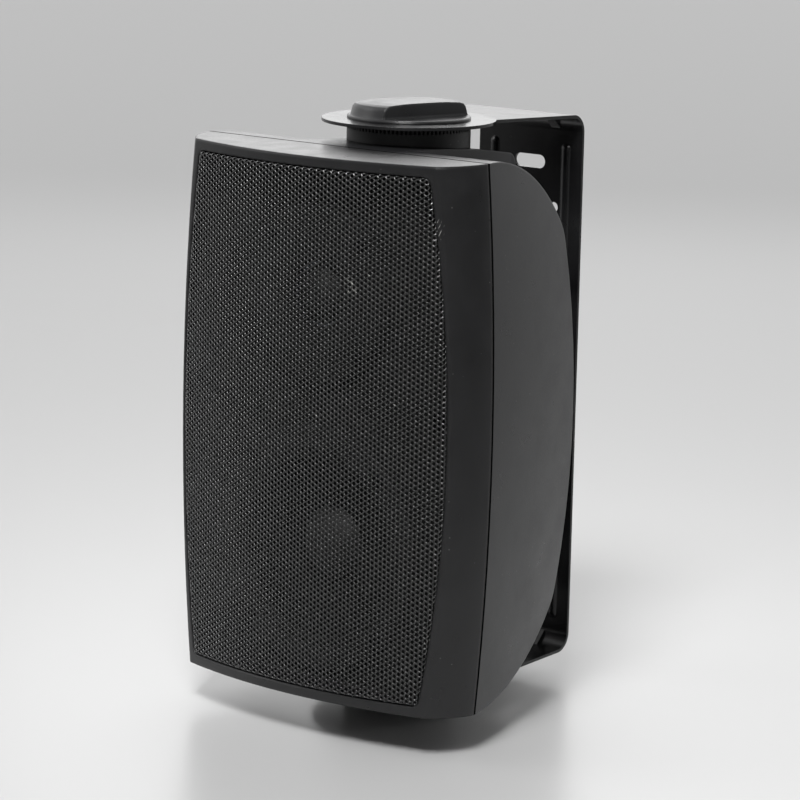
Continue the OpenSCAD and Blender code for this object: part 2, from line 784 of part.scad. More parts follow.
// Places and diameters of the crossover's parts: across, up, diameter
choke_places = [[-18, 20, 26], [18, -22, 22]];
choke_h = 12;
cap_places = [[18, 15, 12], [-18, -18, 10]];
resistor_place = [0, 28.2];
resistor_size = [24, 8, 8];
cap_l = 25;

module crossover_board() color("#4d5a2c") in_cabinet() difference() {
    slab(board_y, board_y + board_t) rounded(board_w, board_h, 2);
    for (sz = [-1, 1]) rod(3, board_y - 1, board_y + 3, 0, sz * board_post_z);
}

module crossover_coils() color("#b06a2e") in_cabinet() {
    for (p = choke_places) translate([p[0], 0, p[1]]) difference() {
        rod(p[2], board_y - choke_h, board_y);
        rod(p[2] / 2, board_y - choke_h - 1, board_y + 1);
    }
}

module crossover_capacitors() color("#c9b44c") in_cabinet() {
    for (p = cap_places) translate([p[0], board_y - p[2] / 2, p[1] - cap_l / 2])
        cylinder(d = p[2], h = cap_l);
}

module crossover_resistor() color("#d8d3c4") in_cabinet()
    translate([resistor_place[0], board_y - resistor_size[1], resistor_place[1]]) cube(resistor_size);

// Toothed spacers, brass inserts, studs and clamp knobs

module at_axis() translate([0, -axis_out, 0]) children();

// A ring whose foot is cut to the spine's arch and whose top carries square teeth
module spacer() difference() {
    at_axis() difference() {
        translate([0, 0, half_h - 8]) cylinder(d = spacer_d, h = spacer_h + 8, $fn = 180);
        translate([0, 0, half_h - 9]) cylinder(r = spacer_in, h = spacer_h + 20);
        translate([0, 0, arm_in - tooth_h]) difference() {
            cylinder(d = spacer_d - 5, h = tooth_h + 1);
            cylinder(d = spacer_d - 9, h = tooth_h + 1);
        }
        for (i = [0 : teeth - 1]) rotate([0, 0, (i + 0.5) * 360 / teeth])
            translate([spacer_d / 2 - 3, -0.25 * tooth_pitch, arm_in - tooth_h])
            cube([4, 0.5 * tooth_pitch, tooth_h + 1]);
    }
    in_cabinet() spine_form(0);
}
tooth_pitch = PI * spacer_d / teeth;

module top_spacer() color("#242425") spacer();
module bottom_spacer() color("#242425") mirror([0, 0, 1]) spacer();

module insert() at_axis() translate([0, 0, half_h - stud_l + wall]) difference() {
    cylinder(d = insert_d, h = stud_l - wall - 4);
    translate([0, 0, -1]) cylinder(d = stud_d + 2 * running, h = stud_l);
    for (z = [5, 12]) translate([0, 0, z]) difference() {
        cylinder(d = insert_d + 2, h = 1.5);
        translate([0, 0, -1]) cylinder(d = insert_d - 1.2, h = 4);
    }
}

module top_insert() color("#b08d4a") insert();
module bottom_insert() color("#b08d4a") mirror([0, 0, 1]) insert();

module stud() at_axis() translate([0, 0, half_h - stud_l + wall + 1])
    cylinder(d = stud_d, h = stud_l - wall - 1 + spacer_h + sheet_t + flange_h + 3);

module top_stud() color("#9a9da0") stud();
module bottom_stud() color("#9a9da0") mirror([0, 0, 1]) stud();

// Radius of the flange's rim
rim_r = 0.6 * flange_h;

// The knob: a round flange with a rounded rim, and a grip with two flat sides and an arched top
module knob() at_axis() translate([0, 0, arm_out]) difference() {
    union() {
        rotate_extrude() difference() {
            square([knob_d / 2, flange_h]);
            translate([knob_d / 2 - rim_r, flange_h - rim_r]) difference() {
                square(2 * rim_r);
                circle(rim_r, $fn = 32);
            }
        }
        rotate([0, 0, grip_turn]) intersection() {
            rotate_extrude() polygon([
                [0, 0], [knob_d / 2 - 0.8, 0], [knob_d / 2 - 1.2, flange_h],
                [knob_d / 2 - 2.4, flange_h + grip_h * 0.6], [knob_d / 2 - 3.4, flange_h + grip_h * 0.78],
                [knob_d / 2 - 5.4, flange_h + grip_h * 0.88], [knob_d / 2 - 12, flange_h + grip_h * 0.96],
                [0, flange_h + grip_h]
            ]);
            cube([knob_d, grip_w, 4 * grip_h], center = true);
        }
    }
    translate([0, 0, -1]) cylinder(d = stud_d, h = flange_h + 4);
}

module top_knob() color("#222223") knob();
module bottom_knob() color("#222223") mirror([0, 0, 1]) knob();

// Bracket

// Side view of one arm: level at the disc, sloping to the bend, then the wall plate
module arm_profile() {
    bend_y = -bend_r;
    arm_end = -axis_out + sqrt(disc_d * disc_d - bracket_w * bracket_w) / 2 - 4;
    polygon([
        [bend_y, plate_top], [arm_end, arm_out], [-axis_out, arm_out],
        [-axis_out, arm_in], [arm_end, arm_in], [bend_y, plate_top - sheet_t]
    ]);
    translate([bend_y, plate_top - bend_r]) intersection() {
        difference() {
            circle(bend_r);
            circle(bend_r - sheet_t);
        }
        square(bend_r);
    }
    translate([-sheet_t, -1]) square([sheet_t, plate_top - bend_r + 1]);
}

// A round-ended vertical bead pressed out of the plate
module bead(grow) {
    h = bead_h / 2 - bead_w / 2;
    r = bead_w / 2 + grow;
    for (z = [-h, h]) translate([0, -sheet_t - bead_out + r + bead_w * 0.1 - grow, z]) sphere(r, $fn = 48);
    translate([0, -sheet_t - bead_out + r + bead_w * 0.1 - grow, -h]) cylinder(r = r, h = 2 * h, $fn = 48);
}

// A small gusset pressed into each bend: the bulge inside, or shifted, the dent outside
module gusset(w, shift = 0) for (s = [-1, 1])
    translate([s * gusset_x, shift, shift]) across(w) polygon([
        [-sheet_t, plate_top - gusset_l], [-gusset_l, plate_top - sheet_t],
        [-0.3 * bend_r, plate_top - 0.3 * bend_r]
    ]);

module wall_bracket() color(steel_black) difference() {
    union() {
        difference() {
            union() {
                both_ends() across(bracket_w) arm_profile();
                both_ends() gusset(gusset_w);
                both_ends() at_axis() translate([0, 0, arm_in - collar_h]) {
                    translate([0, 0, collar_h]) cylinder(d = disc_d, h = sheet_t);
                    cylinder(d = spacer_d + 5, h = collar_h + 0.5);
                }
            }
            both_ends() at_axis() translate([0, 0, arm_in - collar_h - 1])
                cylinder(d = spacer_d + 0.8, h = collar_h + 1);
        }
        intersection() {
            for (s = [-1, 1]) translate([s * bead_gap / 2, 0, 0]) bead(0);
            translate([-far / 2, -far / 2, -far / 2]) cube([far, far / 2 - sheet_t + 0.1, far]);
        }
    }
    intersection() {
        for (s = [-1, 1]) translate([s * bead_gap / 2, sheet_t, 0]) bead(0);
        translate([-far / 2, -far / 2, -far / 2]) cube([far, far / 2 + 1, far]);
    }
    both_ends() gusset(gusset_w / 2, sheet_t / 1.5);
    both_ends() at_axis() translate([0, 0, arm_in - 1]) cylinder(d = stud_d + 0.8, h = 9);
    for (s = [-1, 1]) {
        slab(-9, 1) translate([0, s * slot_z]) {
            square([slot_l - slot_w, slot_w], center = true);
            for (e = [-1, 1]) translate([e * (slot_l - slot_w) / 2, 0]) circle(d = slot_w);
        }
        for (e = [-1, 1]) rod(hole_d, -9, 1, e * hole_x / 2, s * hole_z / 2);
    }
}

wall_bracket();
top_knob();
bottom_knob();
top_stud();
bottom_stud();
top_spacer();
bottom_spacer();
top_insert();
bottom_insert();
front_bezel();
rear_cabinet();
seam_gasket();
grille();
cabinet_screws();
woofer_frame();
woofer_top_plate();
woofer_magnet();
woofer_back_plate();
woofer_cone();
woofer_dust_cap();
woofer_surround();
woofer_spider();
woofer_coil();
woofer_screws();
tweeter_faceplate();
tweeter_top_plate();
tweeter_magnet();
tweeter_back_plate();
tweeter_dome();
tweeter_coil();
tweeter_screws();
terminal_cup();
red_lever();
black_lever();
lever_pin();
terminal_contacts();
terminal_screws();
crossover_board();
crossover_coils();
crossover_capacitors();
crossover_resistor();
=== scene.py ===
# %% [markdown]
# # A wall speaker in its swivel bracket
# The construction model comes in as the frame. Each cell below adds one visible piece or one
# finish, with the reason for the way it is made. Lengths are in metres, Z is up, the wall is
# the plane y = 0 and the speaker faces -Y.

# %% Load the frame
import bpy
import bmesh
import json
import math
from mathutils import Matrix, Vector, kdtree


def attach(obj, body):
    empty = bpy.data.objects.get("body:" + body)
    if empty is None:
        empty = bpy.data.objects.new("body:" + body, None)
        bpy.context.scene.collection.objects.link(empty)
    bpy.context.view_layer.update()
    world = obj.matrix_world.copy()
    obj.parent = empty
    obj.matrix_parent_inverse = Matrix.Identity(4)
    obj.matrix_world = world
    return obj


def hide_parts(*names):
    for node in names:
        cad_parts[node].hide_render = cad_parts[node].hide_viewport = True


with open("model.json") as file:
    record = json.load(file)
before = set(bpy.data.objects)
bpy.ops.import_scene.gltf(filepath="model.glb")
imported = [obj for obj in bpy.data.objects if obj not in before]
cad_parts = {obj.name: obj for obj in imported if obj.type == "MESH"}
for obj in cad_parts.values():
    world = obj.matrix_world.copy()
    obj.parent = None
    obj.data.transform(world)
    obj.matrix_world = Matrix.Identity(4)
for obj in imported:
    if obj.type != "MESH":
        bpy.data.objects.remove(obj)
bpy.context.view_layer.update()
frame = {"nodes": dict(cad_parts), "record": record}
nodes = frame["nodes"]
MM = 0.001

# %% [markdown]
# ## Camera
# The product was photographed from the right and a little above, with a long lens. The place,
# turn and lens were worked out from the cabinet's edges, so that the render and the photograph
# can be laid over one another. The camera's axes are built from its turn, tilt and roll.

# %% Camera
turn, tilt, roll = math.radians(38.348), math.radians(11.002), math.radians(1.2534)
back = Vector((math.sin(turn) * math.cos(tilt), -math.cos(turn) * math.cos(tilt), math.sin(tilt)))
right = Vector((math.cos(turn), math.sin(turn), 0))
up = back.cross(right)
cam_x = math.cos(roll) * right + math.sin(roll) * up
cam_y = -math.sin(roll) * right + math.cos(roll) * up
lens_data = bpy.data.cameras.new("camera")
lens_data.sensor_width = 36
lens_data.lens = 155.07
camera = bpy.data.objects.new("camera", lens_data)
bpy.context.scene.collection.objects.link(camera)
place = Matrix((cam_x, cam_y, back)).transposed().to_4x4()
place.translation = Vector((0.99086, -1.35209, 0.31286))
camera.matrix_world = place
bpy.context.scene.camera = camera
print("Camera looks along", [round(v, 3) for v in -back])

# %% [markdown]
# ## Small helpers for modelling
# An operator works on everything that is selected, so each step starts from nothing selected.
# Faces, edges and points are then picked in code by their place.

# %% Helpers for modelling
def only(obj):
    bpy.ops.object.select_all(action="DESELECT")
    obj.select_set(True)
    bpy.context.view_layer.objects.active = obj


def named(name):
    obj = bpy.context.active_object
    obj.name = name
    obj.data.name = name
    return obj


def edit(obj, kind="FACE"):
    only(obj)
    bpy.ops.object.mode_set(mode="EDIT")
    bpy.ops.mesh.select_mode(type=kind)
    bpy.ops.mesh.select_all(action="DESELECT")
    return bmesh.from_edit_mesh(obj.data)


def pick(obj, kind, test):
    """Selects the points, edges or faces whose middle passes the test, in edit mode."""
    bm = bmesh.from_edit_mesh(obj.data)
    for part in (bm.faces, bm.edges, bm.verts):
        for p in part:
            p.select = False
    for p in {"VERT": bm.verts, "EDGE": bm.edges, "FACE": bm.faces}[kind]:
        middle = p.co if kind == "VERT" else sum((v.co for v in p.verts), Vector()) / len(p.verts)
        if test(middle, p):
            p.select = True
    bm.select_flush_mode()
    bmesh.update_edit_mesh(obj.data)


def done():
    bpy.ops.object.mode_set(mode="OBJECT")


def apply(obj, kind, **settings):
    """Adds a modifier with its settings and applies it."""
    only(obj)
    mod = obj.modifiers.new(kind.title(), kind)
    for key, value in settings.items():
        setattr(mod, key, value)
    bpy.ops.object.modifier_apply(modifier=mod.name)


def close_and_turn(obj, merge=1e-6):
    """Merges doubles and points every face outwards."""
    edit(obj)
    bpy.ops.mesh.select_all(action="SELECT")
    bpy.ops.mesh.remove_doubles(threshold=merge)
    bpy.ops.mesh.normals_make_consistent(inside=False)
    done()


def smooth(obj, angle=30):
    only(obj)
    bpy.ops.object.shade_smooth_by_angle(angle=math.radians(angle))


def finish_place(obj):
    """Puts a piece's turn and place into its mesh, as a CAD node's are."""
    only(obj)
    bpy.ops.object.transform_apply(location=True, rotation=True, scale=True)


def report(obj):
    tris = sum(len(p.vertices) - 2 for p in obj.data.polygons)
    loose = sum(1 for e in edge_use(obj) if e != 2)
    print(obj.name, "triangles", tris, "open or shared edges", loose)


def edge_use(obj):
    count = {}
    for p in obj.data.polygons:
        for key in p.edge_keys:
            count[key] = count.get(key, 0) + 1
    return count.values()

# %% [markdown]
# ## Helpers for finishes
# Colours are written as on a colour chart and turned to the linear values that the renderer
# works in. One small function adds a node, sets it and links it.

# %% Helpers for finishes
def hex_colour(code):
    parts = [int(code[i:i + 2], 16) / 255 for i in (1, 3, 5)]
    return [p / 12.92 if p <= 0.04045 else ((p + 0.055) / 1.055) ** 2.4 for p in parts] + [1]


def add(mat, kind, settings=None, **links):
    """Adds a node. Settings are its own values, links are sockets or plain values."""
    node = mat.node_tree.nodes.new("ShaderNode" + kind)
    for key, value in (settings or {}).items():
        setattr(node, key, value)
    for key, value in links.items():
        numbered = key[0] == "i" and key[1:].isdigit()
        socket = node.inputs[int(key[1:]) if numbered else key.replace("_", " ")]
        if isinstance(value, bpy.types.NodeSocket):
            mat.node_tree.links.new(value, socket)
        else:
            socket.default_value = value
    return node


def new_material(name):
    mat = bpy.data.materials.new(name)
    mat.use_nodes = True
    mat.node_tree.nodes.clear()
    return mat


def surface(mat, **sockets):
    shader = add(mat, "BsdfPrincipled", None, **sockets)
    add(mat, "OutputMaterial", None, Surface=shader.outputs[0])
    return shader


def place_mm(mat, centre=(0, 0, 0), size=(1, 1, 1), turned=(0, 0, 0)):
    """Object coordinates in millimetres about a centre, turned and divided by a size."""
    where = add(mat, "TexCoord").outputs["Object"]
    moved = add(mat, "Mapping", {"vector_type": "POINT"}, Vector=where, Location=[-c * MM for c in centre])
    return add(mat, "Mapping", {"vector_type": "TEXTURE"}, Vector=moved.outputs[0],
               Rotation=[math.radians(t) for t in turned], Scale=[s * MM for s in size]).outputs[0]


def grain(mat, size_mm, detail=2.0, rough=0.5):
    """Noise whose blotches are about size_mm across."""
    return add(mat, "TexNoise", None, Vector=place_mm(mat), Scale=1 / size_mm,
               Detail=detail, Roughness=rough).outputs[0]


def between(mat, value, low, high, a, b):
    """Maps a value from low..high to a..b and stops at both ends."""
    return add(mat, "MapRange", None, Value=value, From_Min=low, From_Max=high, To_Min=a, To_Max=b).outputs[0]


def blend_colour(mat, amount, first, second):
    node = add(mat, "Mix", {"data_type": "RGBA"})
    for index, value in ((0, amount), (6, first), (7, second)):
        if isinstance(value, bpy.types.NodeSocket):
            mat.node_tree.links.new(value, node.inputs[index])
        else:
            node.inputs[index].default_value = hex_colour(value) if isinstance(value, str) else value
    return node.outputs[2]


def math_node(mat, what, a, b=0.0):
    return add(mat, "Math", {"operation": what}, i0=a, i1=b).outputs[0]


def relief(mat, height, depth_mm, strength=1.0, edge_mm=0.0):
    """A bump of a real depth, on edges that are rounded by a real radius."""
    links = {"Height": height, "Strength": strength, "Distance": depth_mm * MM}
    if edge_mm:
        links["Normal"] = add(mat, "Bevel", {"samples": 4}, Radius=edge_mm * MM).outputs[0]
    return add(mat, "Bump", None, **links).outputs[0]

# %% [markdown]
# ## Moulded ABS
# The cabinet is injection moulded ABS with a spark-eroded texture of about 0.3 mm, drawn here
# at 0.7 mm so that it shows. It gives a soft black that turns pale at a grazing angle. Handling
# has left a faint mottle, fine dust and, on the bezel, a few short scratches. Three things here
# are shading and not shape: the rounding of the moulded edges, the slight swell of the
# cabinet's sides, and the seam, whose lips carry painted shade so that its 0.6 mm gap reads as
# wide as it does in the photograph. Painted shade darkens the baffle behind the grille; that it
# is sprayed matt black is a guess from how dark the holes look.

# %% Moulded ABS
def dust(mat, size_mm, share):
    """Small pale specks, on a share of the cells of a random pattern."""
    cells = add(mat, "TexVoronoi", None, Vector=place_mm(mat), Scale=1 / size_mm)
    near = between(mat, cells.outputs["Distance"], 0.05, 0.12, 1.0, 0.0)
    lucky = between(mat, add(mat, "SeparateColor", None, Color=cells.outputs["Color"]).outputs[0],
                    1 - share, 1 - share + 0.01, 0.0, 1.0)
    return math_node(mat, "MULTIPLY", near, lucky)


def painted_shade_behind_grille(mat):
    """One inside the bezel's opening, where painted shade darkens the baffle, nought outside."""
    place = add(mat, "SeparateXYZ", None, Vector=place_mm(mat)).outputs
    across = between(mat, math_node(mat, "ABSOLUTE", place[0]), 73.8, 74, 1.0, 0.0)
    height = between(mat, math_node(mat, "ABSOLUTE", place[2]), 118.8, 119, 1.0, 0.0)
    depth = between(mat, place[1], -163, -162.5, 0.0, 1.0)
    return math_node(mat, "MULTIPLY", math_node(mat, "MULTIPLY", across, height), depth)


# The seam's middle, and the distances from it where the painted shade on its lips is full and where it ends, in
# millimetres.
seam_middle, seam_dark, seam_clear = -144.2, 0.65, 0.85


def painted_seam_shade(mat):
    """One on the seam's lips, nought away from them. It widens the seam's dark line with painted shade only."""
    place = add(mat, "SeparateXYZ", None, Vector=place_mm(mat)).outputs
    away = math_node(mat, "ABSOLUTE", math_node(mat, "ADD", place[1], -seam_middle))
    return between(mat, away, seam_dark, seam_clear, 1.0, 0.0)


texture_mm, swell_mm = 0.03, 1.6


def swell(mat, height):
    """Adds the swell of the cabinet's sides to a relief's height. The mesh doesn't have it."""
    normal = add(mat, "NewGeometry").outputs["True Normal"]
    face = add(mat, "SeparateXYZ", None, Vector=normal).outputs[0]
    side = between(mat, math_node(mat, "ABSOLUTE", face), 0.75, 0.85, 0.0, 1.0)
    depth = add(mat, "SeparateXYZ", None, Vector=place_mm(mat)).outputs[1]
    way = between(mat, depth, -144, -56, -1.0, 1.0)
    rise = math_node(mat, "SUBTRACT", 1.0, math_node(mat, "MULTIPLY", way, way))
    rise = math_node(mat, "MULTIPLY", rise, side)
    return math_node(mat, "ADD", height, math_node(mat, "MULTIPLY", rise, swell_mm / texture_mm))


def abs_plastic(name, colour, worn_colour, roughness, marks=None, inside=False, edge_mm=1.0,
                swollen=False, seam=False):
    mat = new_material(name)
    mottle = grain(mat, 18, 3, 0.6)
    fine = grain(mat, 0.7, 2, 0.6)
    base = blend_colour(mat, between(mat, mottle, 0.35, 0.7, 0.0, 0.55), colour, worn_colour)
    base = blend_colour(mat, math_node(mat, "MULTIPLY", dust(mat, 3.2, 0.12), 0.35), base, "#8c8c88")
    if marks:
        base = blend_colour(mat, marks(mat), base, "#a9a9a6")
    # Painted shade: behind the grille the baffle is darkened near black.
    if inside:
        base = blend_colour(mat, painted_shade_behind_grille(mat), base, "#050505")
    # Painted shade: the seam's lips are darkened near black.
    if seam:
        base = blend_colour(mat, painted_seam_shade(mat), base, "#020202")
    shine = math_node(mat, "ADD", between(mat, mottle, 0.3, 0.7, roughness - 0.04, roughness + 0.06),
                      between(mat, fine, 0.3, 0.7, -0.03, 0.03))
    # Painted shade: the darkened baffle behind the grille is made fully rough, so it shows no sheen.
    if inside:
        shine = math_node(mat, "MAXIMUM", shine, painted_shade_behind_grille(mat))
    # Painted shade: the seam's lips are made fully rough.
    if seam:
        shine = math_node(mat, "MAXIMUM", shine, painted_seam_shade(mat))
    height = swell(mat, fine) if swollen else fine
    shader = surface(mat, Base_Color=base, Roughness=shine, IOR=1.53,
                     Normal=relief(mat, height, texture_mm, 1.0 if swollen else 0.5, edge_mm))
    # Painted shade: the seam's lips also reflect less.
    if seam:
        dimmed = math_node(mat, "MULTIPLY", painted_seam_shade(mat), 0.45)
        gloss = math_node(mat, "SUBTRACT", 0.5, dimmed)
        mat.node_tree.links.new(gloss, shader.inputs["Specular IOR Level"])
    return mat


def bezel_scratches(mat):
    """Five short slanting scratches on the right flank, about 2 mm apart."""
    near = add(mat, "TexGradient", {"gradient_type": "SPHERICAL"},
               Vector=place_mm(mat, (69.5, -170, 98), (7, 14, 6.5))).outputs[0]
    bands = add(mat, "TexWave", {"wave_type": "BANDS", "bands_direction": "Z"},
                Vector=place_mm(mat, (69.5, -170, 98), (1, 1, 1), (0, -66, 0)),
                Scale=0.2, Distortion=1.2, Detail=1.0).outputs[1]
    line = between(mat, bands, 0.93, 0.99, 0.0, 0.85)
    broken = between(mat, grain(mat, 1.4, 1), 0.42, 0.56, 0.0, 1.0)
    spot = math_node(mat, "MULTIPLY", between(mat, near, 0.1, 0.35, 0.0, 1.0), line)
    return math_node(mat, "MULTIPLY", spot, broken)


# The bezel gets painted shade behind its grille and on the seam's lips; the cabinet gets it on the seam's lips.
bezel_abs = abs_plastic("abs_bezel", "#141415", "#1d1d1e", 0.32, bezel_scratches, True, 2.2, seam=True)
cabinet_abs = abs_plastic("abs_cabinet", "#161618", "#202022", 0.32, edge_mm=1.2, swollen=True, seam=True)

# %% [markdown]
# ## Glass-filled nylon, moulded
# Knobs and spacers are a harder plastic with the same fine texture and a little more shine.

# %% Moulded nylon
knob_nylon = abs_plastic("nylon_knob", "#1d1d1e", "#2b2b2c", 0.32, edge_mm=1.8)
spacer_nylon = abs_plastic("nylon_spacer", "#141415", "#1d1d1e", 0.5)
plate_abs = abs_plastic("abs_plate", "#040404", "#070707", 0.92)

# %% [markdown]
# ## Powder coat and plated steel
# The bracket is pressed steel with a satin black powder coat: orange peel of about 2 mm, a
# sheen that turns it into a mirror of the room at a grazing angle. The grille has a matter
# coat. Screws, plates and studs are bare or plated metal.

# %% Coated and plated steel
def powder_coat(name, colour, roughness, peel_mm, edge_mm):
    mat = new_material(name)
    peel = grain(mat, peel_mm, 2, 0.5)
    cloud = grain(mat, 30, 2, 0.5)
    base = blend_colour(mat, between(mat, cloud, 0.35, 0.7, 0.0, 1.0), colour, "#1e1e1f")
    base = blend_colour(mat, math_node(mat, "MULTIPLY", dust(mat, 4.0, 0.1), 0.3), base, "#8c8c88")
    surface(mat, Base_Color=base, IOR=1.5, Normal=relief(mat, peel, 0.03, 0.3, edge_mm),
            Roughness=between(mat, cloud, 0.3, 0.7, roughness - 0.05, roughness + 0.05))
    return mat


def plain_metal(name, colour, dull, roughness, grain_mm):
    mat = new_material(name)
    lay = grain(mat, grain_mm, 3, 0.6)
    surface(mat, Base_Color=blend_colour(mat, between(mat, lay, 0.3, 0.7, 0.0, 1.0), colour, dull), Metallic=1.0,
            Roughness=between(mat, lay, 0.3, 0.7, roughness - 0.06, roughness + 0.06),
            Normal=relief(mat, lay, 0.02, 0.4, 0.2))
    return mat


bracket_coat = powder_coat("powder_coat_bracket", "#0b0b0c", 0.24, 2.0, 0.4)
frame_paint = powder_coat("paint_frame", "#050505", 0.85, 1.5, 0.2)
zinc_plate = plain_metal("zinc_plate", "#a9adb2", "#8f9398", 0.35, 1.5)
turned_brass = plain_metal("turned_brass", "#c9a24a", "#a8843a", 0.3, 1.0)
black_screw = plain_metal("black_phosphate", "#1c1c1e", "#262628", 0.5, 0.8)
nickel_plate = plain_metal("nickel_plate", "#c6c1b6", "#aaa599", 0.25, 1.0)
copper_wire = plain_metal("enamelled_copper", "#a8582c", "#8c431e", 0.35, 0.6)

# %% [markdown]
# ## The finishes that are mostly hidden
# Ferrite, paper, rubber, cloth and the board's laminate are matt. Each has the grain of the
# real stuff, so that it still looks right when the speaker is opened.

# %% Matt finishes
def matt(name, colour, other, grain_mm, roughness, ior, depth_mm):
    mat = new_material(name)
    stuff = grain(mat, grain_mm, 3, 0.65)
    surface(mat, Base_Color=blend_colour(mat, between(mat, stuff, 0.3, 0.7, 0.0, 1.0), colour, other), IOR=ior,
            Roughness=between(mat, stuff, 0.3, 0.7, roughness - 0.05, roughness + 0.05),
            Normal=relief(mat, stuff, depth_mm, 0.6))
    return mat


ferrite = matt("ferrite", "#232225", "#2d2c30", 0.8, 0.6, 1.8, 0.03)
foam = matt("foam_gasket", "#0b0b0b", "#141414", 0.6, 0.9, 1.4, 0.1)
cone_paper = matt("pressed_paper", "#050505", "#090909", 1.2, 0.95, 1.35, 0.08)
cap_paper = matt("lacquered_paper", "#1e1e1e", "#262626", 1.5, 0.6, 1.5, 0.05)
surround_rubber = matt("butyl_rubber", "#060606", "#0a0a0a", 1.0, 0.85, 1.5, 0.03)
spider_cloth = matt("treated_cotton", "#7a6228", "#5e4a1c", 0.5, 0.85, 1.5, 0.1)
dome_silk = matt("coated_silk", "#080808", "#0d0d0d", 0.4, 0.7, 1.5, 0.03)
red_abs = matt("abs_red", "#8c1d1d", "#7a1717", 0.7, 0.35, 1.53, 0.03)
black_abs = matt("abs_black", "#101010", "#171717", 0.7, 0.35, 1.53, 0.03)
board_laminate = matt("phenolic_laminate", "#6b4a22", "#5c3f1c", 2.0, 0.5, 1.55, 0.02)
capacitor_film = matt("film_capacitor", "#c79a2c", "#b58a22", 3.0, 0.35, 1.55, 0.02)
cement = matt("ceramic_cement", "#d5d0c2", "#c2bcab", 0.8, 0.8, 1.6, 0.05)

FINISH = {
    "bracket_paint": bracket_coat, "knob_nylon": knob_nylon, "spacer_nylon": spacer_nylon,
    "zinc_steel": zinc_plate, "brass": turned_brass, "cabinet_abs": cabinet_abs,
    "gasket_foam": foam, "grille_paint": bracket_coat, "black_screw": black_screw,
    "frame_steel": frame_paint, "ferrite": ferrite, "cone_paper": cone_paper,
    "cap_paper": cap_paper, "surround_rubber": surround_rubber, "spider_cloth": spider_cloth,
    "copper_wire": copper_wire, "plate_abs": plate_abs, "dome_silk": dome_silk,
    "red_abs": red_abs, "black_abs": black_abs, "nickel_plate": nickel_plate,
    "board_laminate": board_laminate, "capacitor_film": capacitor_film, "cement": cement,
}
for part in frame["record"]["subparts"]:
    mesh = nodes[part["node"]].data
    mesh.materials.clear()
    mesh.materials.append(FINISH[part["material_slot"]])
nodes["front_bezel"].data.materials[0] = bezel_abs

# %% [markdown]
# ## The perforated grille
# The real grille is a sheet of steel punched with round holes, pressed to a
# bow and folded at its edge, holes and all. One cell is modelled by hand: a hole with a softly
# rounded rim in a six-sided tile. The tile is repeated with array modifiers, cut back to the
# outline, folded and bowed.

# %% The shape of the grille
front_y, front_r = -178.0, 240.0
grille_w, grille_h, grille_bow, grille_corner = 155.6, 240.0, 10.6, 3.5
side_r = (grille_h ** 2 / 4 + grille_bow ** 2) / (2 * grille_bow)


def half_width(z, inset=0.0):
    """Half the grille's width at a height, in millimetres."""
    return grille_w / 2 - side_r + math.sqrt((side_r - inset) ** 2 - z * z)


def bow(x):
    """How far the front lies behind its middle, in millimetres."""
    return front_r - math.sqrt(front_r ** 2 - x * x)


def outline(inset, steps=40):
    """Points round the grille's outline, in millimetres: right side, top, left side, bottom."""
    c = grille_corner - inset if inset < grille_corner - 0.5 else 0.5
    top = grille_h / 2 - inset
    turn_end = math.asin((top - c) / (side_r - inset - c))
    centre = grille_w / 2 - side_r
    corner = (centre + (side_r - inset - c) * math.cos(turn_end), top - c)
    quarter = [(centre + (side_r - inset) * math.cos(turn_end * i / steps),
                (side_r - inset) * math.sin(turn_end * i / steps)) for i in range(steps + 1)]
    quarter += [(corner[0] + c * math.cos(turn_end + (math.pi / 2 - turn_end) * i / 8),
                 corner[1] + c * math.sin(turn_end + (math.pi / 2 - turn_end) * i / 8)) for i in range(1, 9)]
    quarter += [(corner[0] * (1 - i / 30), top) for i in range(1, 30)]
    points = quarter + [(0, top)] + [(-x, z) for x, z in reversed(quarter)]
    return points + [(x, -z) for x, z in reversed(points[1:-1])]


print("Outline points", len(outline(0)))

# %% [markdown]
# The cell: a ring of eight points for the hole is drawn out to a rounded rim and bridged to the
# six-sided edge of its tile, at the front and at the back of the sheet. The six-sided ring is
# bridged while it floats 1 mm off the sheet, and then pushed flush. Pitch and column are what
# lays this lattice over the one in the photograph; a regular one would have columns 2.11 mm
# apart, so the tiles are squeezed a little sideways.

# %% One cell of the perforation
pitch, hole_d, sheet_mm, rim_mm = 2.44, 1.8, 0.5, 0.29
column = 2.02


def tile(x, z):
    """One tile of a flat sheet, front at y = 0, round a hole at x, z in millimetres."""
    bpy.ops.object.select_all(action="DESELECT")
    bpy.ops.mesh.primitive_circle_add(vertices=8, radius=(hole_d / 2 + rim_mm) * MM,
                                      rotation=(math.pi / 2, 0, 0))
    cell = named("cell")
    finish_place(cell)
    edit(cell, "EDGE")
    bpy.ops.mesh.select_all(action="SELECT")
    for shrink, push in ((hole_d / (hole_d + 2 * rim_mm), rim_mm), (1, sheet_mm - rim_mm)):
        bpy.ops.mesh.extrude_edges_move()
        bpy.ops.transform.resize(value=(shrink, 1, shrink), center_override=(0, 0, 0))
        bpy.ops.transform.translate(value=(0, push * MM, 0))
    for depth, off in ((0, -1), (sheet_mm, 1)):
        bpy.ops.mesh.select_all(action="DESELECT")
        bpy.ops.mesh.primitive_circle_add(vertices=6, radius=pitch / 2 / math.cos(math.pi / 6) * MM,
                                          location=(0, (depth + off) * MM, 0), rotation=(math.pi / 2, 0, 0))
        pick(cell, "EDGE", lambda c, e: len(e.link_faces) < 2 and any(
            abs(c.y - y * MM) < 1e-6 for y in (depth, depth + off)))
        bpy.ops.mesh.bridge_edge_loops()
        pick(cell, "VERT", lambda c, v: abs(c.y - (depth + off) * MM) < 1e-6)
        bpy.ops.transform.translate(value=(0, -off * MM, 0))
        bpy.ops.mesh.select_mode(type="EDGE")
    bpy.ops.mesh.select_all(action="SELECT")
    bpy.ops.transform.translate(value=(x * MM, 0, z * MM))
    done()
    return cell


